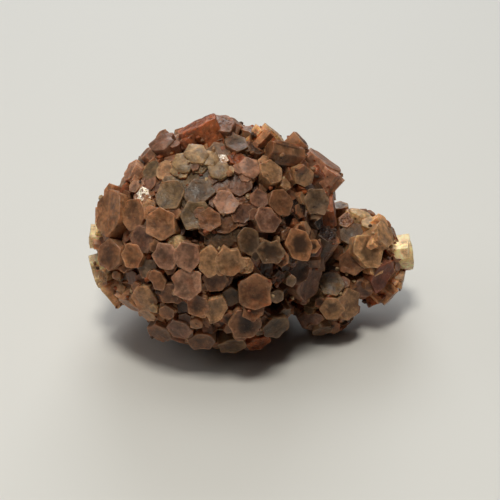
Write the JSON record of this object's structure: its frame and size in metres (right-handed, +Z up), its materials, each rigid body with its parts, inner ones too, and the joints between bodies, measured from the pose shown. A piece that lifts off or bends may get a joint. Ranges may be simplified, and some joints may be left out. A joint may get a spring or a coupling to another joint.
{
  "type": "aragonite sputnik cluster",
  "caption": "Natural aragonite specimen: a rounded ball of blunt six-sided brown crystals radiating outwards, with a smaller lobe grown onto one side.",
  "frame": {"origin": "middle of the bounding box's underside, on the surface that the cluster stands on", "axes": "+X along the cluster's length towards the small lobe, -Y towards the side seen in the picture, +Z up"},
  "size_m": [0.066, 0.051, 0.0481],
  "materials": {
    "aragonite": "waxy, slightly translucent brown crystal with paler rims and rust-stained joints"
  },
  "bodies": {
    "root": {"aragonite_cluster": "aragonite"}
  },
  "joints": []
}
